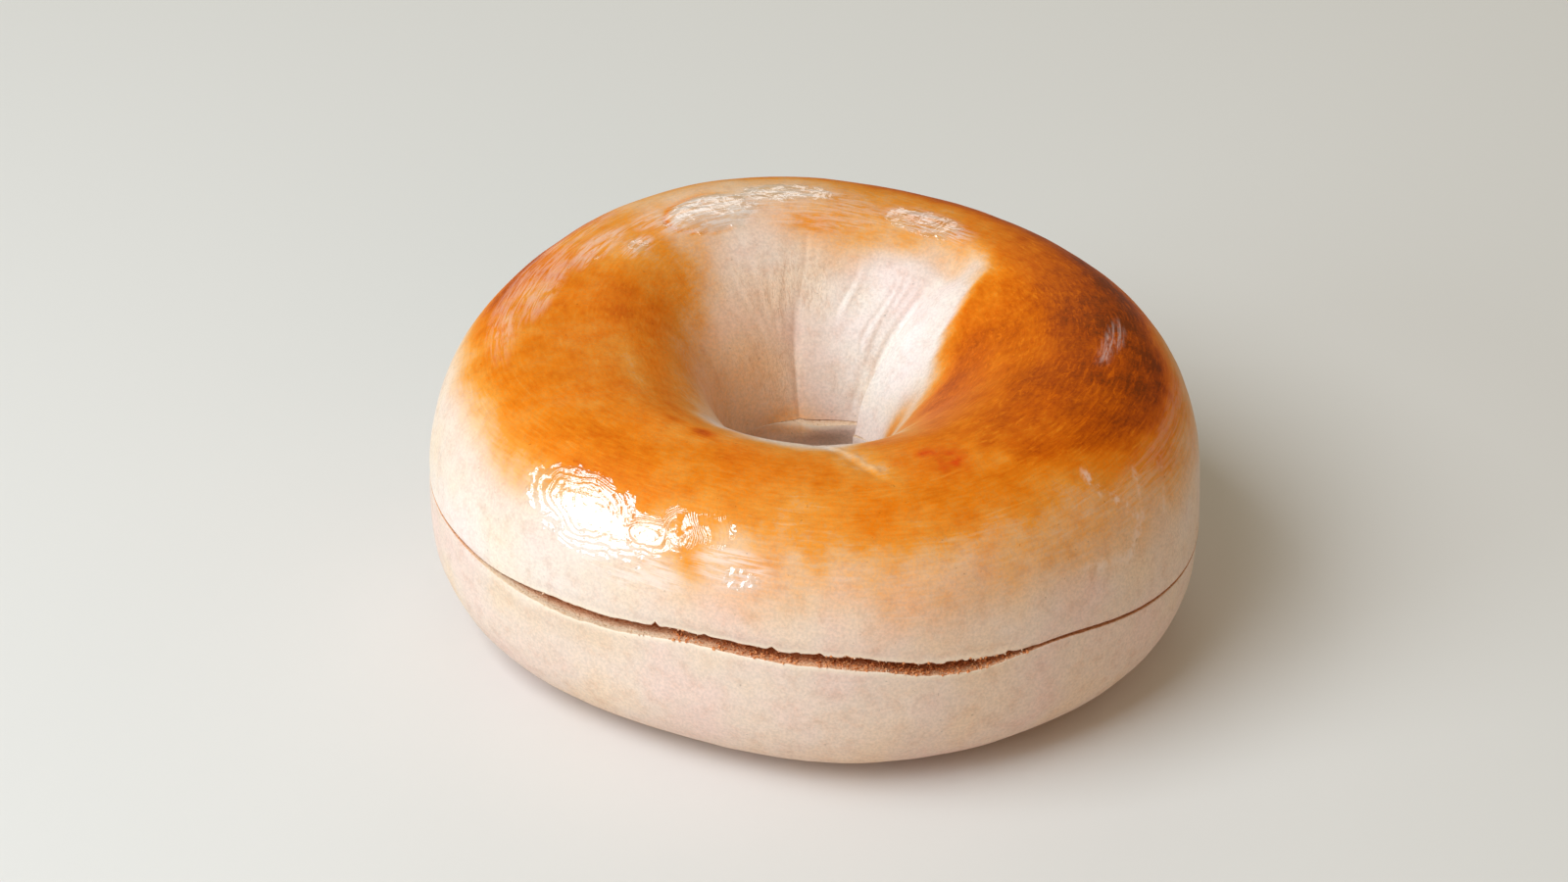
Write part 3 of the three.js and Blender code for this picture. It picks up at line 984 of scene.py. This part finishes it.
# From which value to which each mask goes, and what it starts and ends with, if not 0 and 1.
SPANS = {
    "varied": (0.05, 0.7, 0.15, 1.0),
    "flecks": (0.54, 0.7),
    "flecked": (0.95, 1.2),
    "lines": (0.55, 0.75),
    "hatching": (0.45, 0.72),
    "hatched": (0.4, 0.62),
    "grain": (0.3, 0.7, 0.9, 1.06),
    "wisps": (0.4, 0.62),
    "claw_highlights": (0.42, 0.56),
    "specks": (0.76, 0.8, 1.0, 0.75),
    "closed": (0.52, 0.62),
    "on_film": (0.1, 0.25),
    "ringed": (0.3, 0.85, 0.12, 1.0),
    "wrinkled": (0.05, 0.4),
}
PATTERN_MIDDLE = 0.5


class Nodes:
    """Short names for the shader nodes that the materials use."""

    def __init__(self, name):
        self.material = bpy.data.materials.new(name)
        self.material.use_nodes = True
        self.tree = self.material.node_tree

    def add(self, kind, inputs=None, **settings):
        node = self.tree.nodes.new(kind)
        for key, value in settings.items():
            setattr(node, key, value)
        self.feed(node, inputs or {})
        return node

    def feed(self, node, inputs):
        for key, value in inputs.items():
            if isinstance(value, bpy.types.NodeSocket):
                self.tree.links.new(value, node.inputs[key])
            else:
                node.inputs[key].default_value = value

    def shaded(self, inputs):
        """The material, with its shader's inputs set."""
        self.feed(self.tree.nodes["Principled BSDF"], inputs)
        return self.material

    def attribute(self, name, output="Fac"):
        return self.add("ShaderNodeAttribute", attribute_name=name).outputs[output]

    def place(self):
        return self.add("ShaderNodeTexCoord").outputs["Object"]

    def noise(self, place, scale, detail, roughness=0.5, distortion=0):
        inputs = {"Vector": place, "Scale": scale, "Detail": detail}
        inputs.update({"Roughness": roughness, "Distortion": distortion})
        return self.add("ShaderNodeTexNoise", inputs).outputs["Fac"]

    def stretch(self, vector, scale):
        inputs = {0: vector, 1: scale}
        return self.add("ShaderNodeVectorMath", inputs, operation="MULTIPLY").outputs["Vector"]

    def math(self, operation, *values):
        return self.add("ShaderNodeMath", dict(enumerate(values)), operation=operation).outputs[0]

    def times(self, first, second):
        return self.math("MULTIPLY", first, second)

    def weigh(self, terms, total=0.0):
        """The sum of values times their weights, on top of a total."""
        for value, weight in terms:
            total = self.math("MULTIPLY_ADD", value, weight, total)
        return total

    def span(self, value, name):
        """A value's mask over the span of that name."""
        inputs = dict(zip(("From Min", "From Max", "To Min", "To Max"), SPANS[name]))
        inputs["Value"] = value
        return self.add("ShaderNodeMapRange", inputs, interpolation_type="SMOOTHSTEP").outputs["Result"]

    def mix(self, share, first, second, blend="MIX"):
        inputs = {"Factor": share, 6: first, 7: second}
        return self.add("ShaderNodeMix", inputs, data_type="RGBA", blend_type=blend).outputs[2]

    def multiply(self, first, second):
        return self.mix(1.0, first, second, "MULTIPLY")

    def ramp(self, value, stops):
        node = self.add("ShaderNodeValToRGB", {"Fac": value})
        elements = node.color_ramp.elements
        for place, colour in stops[1:-1]:
            elements.new(place).color = colour
        elements[0].position, elements[0].color = stops[0]
        elements[-1].position, elements[-1].color = stops[-1]
        return node.outputs["Color"]

    def bump(self, height, distance, below=None):
        inputs = {"Height": height, "Distance": distance}
        if below is not None:
            inputs["Normal"] = below
        return self.add("ShaderNodeBump", inputs).outputs["Normal"]


# Colours by how brown the crust is, and tints by the value of a pattern.
PALEST = -0.25
BROWNEST = 1.6
CRUST_COLOURS = (
    (PALEST, (0.92, 0.8, 0.73, 1)),
    (0, (0.8, 0.61, 0.5, 1)),
    (0.24, (0.8, 0.51, 0.33, 1)),
    (0.5, (0.8, 0.385, 0.145, 1)),
    (0.74, (0.79, 0.275, 0.035, 1)),
    (1, (0.75, 0.185, 0.006, 1)),
    (1.23, (0.6, 0.11, 0.001, 1)),
    (1.44, (0.38, 0.058, 0.001, 1)),
    (BROWNEST, (0.19, 0.032, 0.002, 1)),
)
CLOUD_TINTS = ((0.34, (0.99, 0.94, 0.97, 1)), (0.5, (0.97, 0.97, 0.96, 1)), (0.66, (1, 0.965, 0.87, 1)))
BLOTCH_TINTS = ((0.3, (0.91, 0.83, 0.79, 1)), (0.5, (0.98, 0.97, 0.97, 1)), (0.7, (1, 1, 1, 1)))
NO_TINT = (1, 1, 1, 1)
HATCH_TINT = (0.92, 0.85, 0.81, 1)
RED_COLOUR = (0.66, 0.07, 0.002, 1)
# Whitish veils, partly painted sheen, and the painted highlight along the cut edges.
HAZE_AND_SHEEN_COLOUR = (0.86, 0.7, 0.64, 1)
EDGE_HIGHLIGHT_COLOUR = (0.9, 0.74, 0.58, 1)
EDGE_HIGHLIGHT_SHARE = 0.6

# The crust's patterns: what they follow, scale, detail, roughness and distortion.
PATTERNS = {
    "streaks": ("flow", 1900, 2, 0.5, 0),
    "flecks": ("flow", 1700, 2, 0.5, 1),
    "lines": ("long_flow", 1100, 4, 0.6, 1.2),
    "wisps": ("long_flow", 1300, 4, 0.7, 1),
    "hatching": ("upright_flow", 1700, 3, 0.7, 1.6),
    "mottle": ("place", 330, 3, 0.55, 0),
    "grain": ("place", 2300, 2, 0.6, 0),
    "clouds": ("place", 75, 3, 0.5, 0),
    "blotches": ("place", 420, 5, 0.7, 0),
    "specks": ("place", 1500, 1, 0.5, 0),
    "drops": ("place", 480, 2, 0.5, 0),
    "swells": ("place", 190, 1, 0.4, 0),
}
FLOW_STRETCHES = {"long_flow": (0.45, 0.45, 1), "upright_flow": (1.7, 1.7, 0.3)}
# How much browner the patterns make the crust.
BROWN_SWINGS = {"streaks": 0.34, "mottle": 0.28, "grain": 0.42}
FLECK_BROWN = -0.14
LINE_BROWN = -0.12

# The films: how far drops break them up, and the rings and drops that wrinkle them.
FILM_DROPS = 1.5
RING_PITCH = 0.19  # as a share of a film's reach
RING_SWELLS = 4
RING_DROPS = 1.4
WRINKLE_DROPS = 2.4
WRINKLE_COVER = 0.8
# The relief of the skin's patterns, and the heights of the bumps in metres.
GRAIN_RELIEF = 0.6
STREAK_RELIEF = 0.5
HATCH_RELIEF = -0.8
SKIN_BUMP = 0.00005
FILM_BUMP = 0.000008
COAT_BUMP = 0.00007


def crust_patterns(nodes):
    followed = {"flow": nodes.attribute("flow", "Vector"), "place": nodes.place()}
    for name, scale in FLOW_STRETCHES.items():
        followed[name] = nodes.stretch(followed["flow"], scale)
    return {name: nodes.noise(followed[kind], *settings) for name, (kind, *settings) in PATTERNS.items()}


def crust_colour(nodes, patterns, hatch):
    # The browning attribute carries painted shade and painted light as well.
    brown = nodes.attribute("browning_and_painted_light")
    flecks = nodes.times(nodes.span(patterns["flecks"], "flecks"), nodes.span(brown, "flecked"))
    spread = 0.0
    for name, weight in BROWN_SWINGS.items():
        spread = nodes.weigh([(nodes.math("SUBTRACT", patterns[name], PATTERN_MIDDLE), weight)], spread)
    lines = nodes.span(patterns["lines"], "lines")
    spread = nodes.weigh([(flecks, FLECK_BROWN), (lines, LINE_BROWN)], spread)
    shade = nodes.math("MULTIPLY_ADD", spread, nodes.span(brown, "varied"), brown)
    reach = BROWNEST - PALEST
    shade = nodes.math("MULTIPLY_ADD", shade, 1 / reach, -PALEST / reach)
    colour = nodes.ramp(shade, [((value - PALEST) / reach, tint) for value, tint in CRUST_COLOURS])
    colour = nodes.mix(nodes.attribute("red"), colour, RED_COLOUR)
    colour = nodes.multiply(colour, nodes.ramp(patterns["clouds"], CLOUD_TINTS))
    colour = nodes.multiply(colour, nodes.ramp(patterns["blotches"], BLOTCH_TINTS))
    colour = nodes.multiply(colour, nodes.span(patterns["grain"], "grain"))
    colour = nodes.multiply(colour, nodes.mix(hatch, NO_TINT, HATCH_TINT))
    # Painted sheen and highlights: the whitish veils and streaks are mixed in as colour.
    haze_and_sheen = nodes.times(nodes.attribute("haze_and_sheen"), nodes.span(patterns["wisps"], "wisps"))
    claw_highlight = nodes.times(nodes.attribute("claw_highlight"), nodes.span(patterns["blotches"], "claw_highlights"))
    colour = nodes.mix(nodes.math("MAXIMUM", haze_and_sheen, claw_highlight), colour, HAZE_AND_SHEEN_COLOUR)
    # Painted highlight along the cut edges.
    colour = nodes.mix(nodes.times(nodes.attribute("rim"), EDGE_HIGHLIGHT_SHARE), colour, EDGE_HIGHLIGHT_COLOUR)
    return nodes.multiply(colour, nodes.span(patterns["specks"], "specks"))


def film_cover(nodes, patterns):
    """How far a glossy film covers the crust, and the height of its wrinkles."""
    film = nodes.attribute("film")
    rings = nodes.attribute("rings")
    drops = patterns["drops"]
    cover = nodes.weigh([(nodes.math("SUBTRACT", drops, PATTERN_MIDDLE), FILM_DROPS)], film)
    cover = nodes.times(nodes.span(cover, "closed"), nodes.span(film, "on_film"))
    terms = [(rings, 1 / RING_PITCH), (patterns["swells"], RING_SWELLS), (drops, RING_DROPS)]
    waves = nodes.math("SINE", nodes.times(nodes.weigh(terms), math.tau))
    waves = nodes.times(waves, nodes.span(rings, "ringed"))
    wrinkles = nodes.weigh([(drops, WRINKLE_DROPS), (cover, WRINKLE_COVER)], waves)
    return cover, nodes.times(wrinkles, nodes.span(film, "wrinkled"))


def crust_material(name):
    nodes = Nodes(name)
    patterns = crust_patterns(nodes)
    hatch = nodes.times(nodes.span(patterns["hatching"], "hatching"), nodes.attribute("wall"))
    hatch = nodes.times(hatch, nodes.span(patterns["clouds"], "hatched"))
    cover, wrinkles = film_cover(nodes, patterns)
    relief = [(patterns["grain"], GRAIN_RELIEF), (patterns["streaks"], STREAK_RELIEF)]
    skin = nodes.bump(nodes.weigh([*relief, (hatch, HATCH_RELIEF)]), SKIN_BUMP)
    inputs = {
        "Base Color": crust_colour(nodes, patterns, hatch),
        "Normal": nodes.bump(wrinkles, FILM_BUMP, skin),
        "Coat Normal": nodes.bump(wrinkles, COAT_BUMP, skin),
        "Coat Weight": cover,
        "Roughness": 0.5,
        "Specular IOR Level": 0.05,
        "Coat Roughness": 0.13,
        "Coat IOR": 2.4,
    }
    return nodes.shaded(inputs)


# Painted shade: the crumb is coloured reddish brown for the warm shade inside the slit, deep inside and
# lighter along its edge, by the value of its pores' pattern.
CRUMB_SHADE_TINTS = ((0.3, (0.5, 0.12, 0.03, 1)), (0.5, (0.78, 0.28, 0.1, 1)), (0.7, (0.9, 0.48, 0.24, 1)))
LIGHTER_CRUMB_SHADE_TINTS = ((0.28, (0.45, 0.2, 0.08, 1)), (0.4, (0.8, 0.54, 0.35, 1)), (0.7, (0.82, 0.6, 0.44, 1)))
PORES = {"scale": 2300, "detail": 3, "roughness": 0.65}
PORE_BUMP = 0.0004


def crumb_material():
    nodes = Nodes("crumb")
    pores = nodes.noise(nodes.place(), **PORES)
    inner, outer = nodes.ramp(pores, CRUMB_SHADE_TINTS), nodes.ramp(pores, LIGHTER_CRUMB_SHADE_TINTS)
    inputs = {
        "Base Color": nodes.mix(nodes.attribute("crumb_lit_edge"), inner, outer),
        "Normal": nodes.bump(pores, PORE_BUMP),
        "Roughness": 0.8,
        "Specular IOR Level": 0.1,
    }
    return nodes.shaded(inputs)


def plain_material(name, colour, roughness):
    return Nodes(name).shaded({"Base Color": colour, "Roughness": roughness})


BIT_COLOUR = (0.76, 0.5, 0.34, 1)
BIT_ROUGHNESS = 0.8
FLOOR_COLOUR = (0.72, 0.64, 0.6, 1)
FLOOR_ROUGHNESS = 0.7
FLOOR_REACH = 3
STUDIO_COLOUR = (0.98, 1, 0.72, 1)
STUDIO_STRENGTH = 0.28
# Lights: azimuth from the camera's side to the right, elevation, distance, width and height,
# watts, colour.
LIGHTS = {
    "key": (-60, 52, 0.8, 0.67, 0.48, 7.1, (0.76, 0.9, 1)),
    "low_key": (-64, 15, 1.2, 0.6, 0.52, 5.8, (0.68, 0.88, 1)),
    "front": (16, 20, 1.2, 1, 0.6, 1.82, (1, 0.56, 0.38)),
    "back": (176, 34, 0.7, 0.34, 0.2, 0.3, (1, 1, 1)),
    "right": (118, 26, 0.7, 0.25, 0.25, 0.2, (1, 0.94, 0.88)),
}


def make_floor():
    mesh = bpy.data.meshes.new("floor")
    corners = [(x * FLOOR_REACH, y * FLOOR_REACH, 0) for x, y in ((-1, -1), (1, -1), (1, 1), (-1, 1))]
    mesh.from_pydata(corners, [], [(0, 1, 2, 3)])
    mesh.materials.append(plain_material("floor", FLOOR_COLOUR, FLOOR_ROUGHNESS))
    floor = add_object("floor", mesh)


def make_light(name, azimuth, elevation, distance, width, height, watts, colour):
    light = bpy.data.lights.new(name, "AREA")
    light.shape = "RECTANGLE"
    light.size = width
    light.size_y = height
    light.energy = watts
    light.color = colour
    turn, rise = math.radians(azimuth), math.radians(elevation)
    toward = Vector((math.sin(turn) * math.cos(rise), -math.cos(turn) * math.cos(rise), math.sin(rise)))
    lamp = add_object(name, light)
    lamp.location = toward * distance + Vector((0, 0, TARGET_HEIGHT * MM))
    lamp.rotation_euler = toward.to_track_quat("Z", "Y").to_euler()


def make_world():
    world = bpy.data.worlds.new("studio")
    world.use_nodes = True
    background = world.node_tree.nodes["Background"]
    background.inputs["Color"].default_value = STUDIO_COLOUR
    background.inputs["Strength"].default_value = STUDIO_STRENGTH
    bpy.context.scene.world = world


def make_camera():
    rise, roll = math.radians(CAMERA_ELEVATION), math.radians(CAMERA_ROLL)
    forward = Vector((0, math.cos(rise), -math.sin(rise)))
    level = Vector((1, 0, 0))
    upright = level.cross(forward)
    right = level * math.cos(roll) + upright * math.sin(roll)
    up = upright * math.cos(roll) - level * math.sin(roll)
    target = Vector((*AXIS_PLACE, TARGET_HEIGHT)) * MM
    place = target - forward * CAMERA_DISTANCE
    data = bpy.data.cameras.new("camera")
    data.lens = CAMERA_LENS
    data.sensor_width = SENSOR_WIDTH
    data.shift_x = (FRAME_WIDTH / 2 - LENS_PIXEL[0]) / FRAME_WIDTH
    data.shift_y = (LENS_PIXEL[1] - FRAME_HEIGHT / 2) / FRAME_WIDTH
    camera = add_object("camera", data)
    camera.matrix_world = Matrix.Translation(place) @ Matrix((right, up, -forward)).transposed().to_4x4()
    bpy.context.scene.camera = camera


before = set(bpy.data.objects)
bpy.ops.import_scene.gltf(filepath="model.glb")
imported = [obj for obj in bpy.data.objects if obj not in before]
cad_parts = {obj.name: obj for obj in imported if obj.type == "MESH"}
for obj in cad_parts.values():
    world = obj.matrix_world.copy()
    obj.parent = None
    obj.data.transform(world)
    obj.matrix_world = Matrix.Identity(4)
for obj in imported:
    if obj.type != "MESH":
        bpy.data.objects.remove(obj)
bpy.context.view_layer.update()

glazed = crust_material("glazed_crust")
pale = crust_material("pale_crust")
crumb = crumb_material()

crown, angle, crown_grid = make_half("crown", crown_face, True, CROWN_ROWS, (glazed, crumb))
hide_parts("top_half")
base, angle, base_grid = make_half("base", base_face, False, BASE_ROWS, (pale, crumb))
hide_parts("bottom_half")
lips = ((base_grid[:, BASE_ROWS - 1], True), (crown_grid[:, 0], False))
make_crumbs("grains", GRAINS, lips, angle, crumb)
make_crumbs("bits", BITS, lips, angle, plain_material("bit", BIT_COLOUR, BIT_ROUGHNESS))

make_floor()
for light_name, light_settings in LIGHTS.items():
    make_light(light_name, *light_settings)
make_world()
make_camera()
bpy.context.scene.view_settings.view_transform = "Standard"
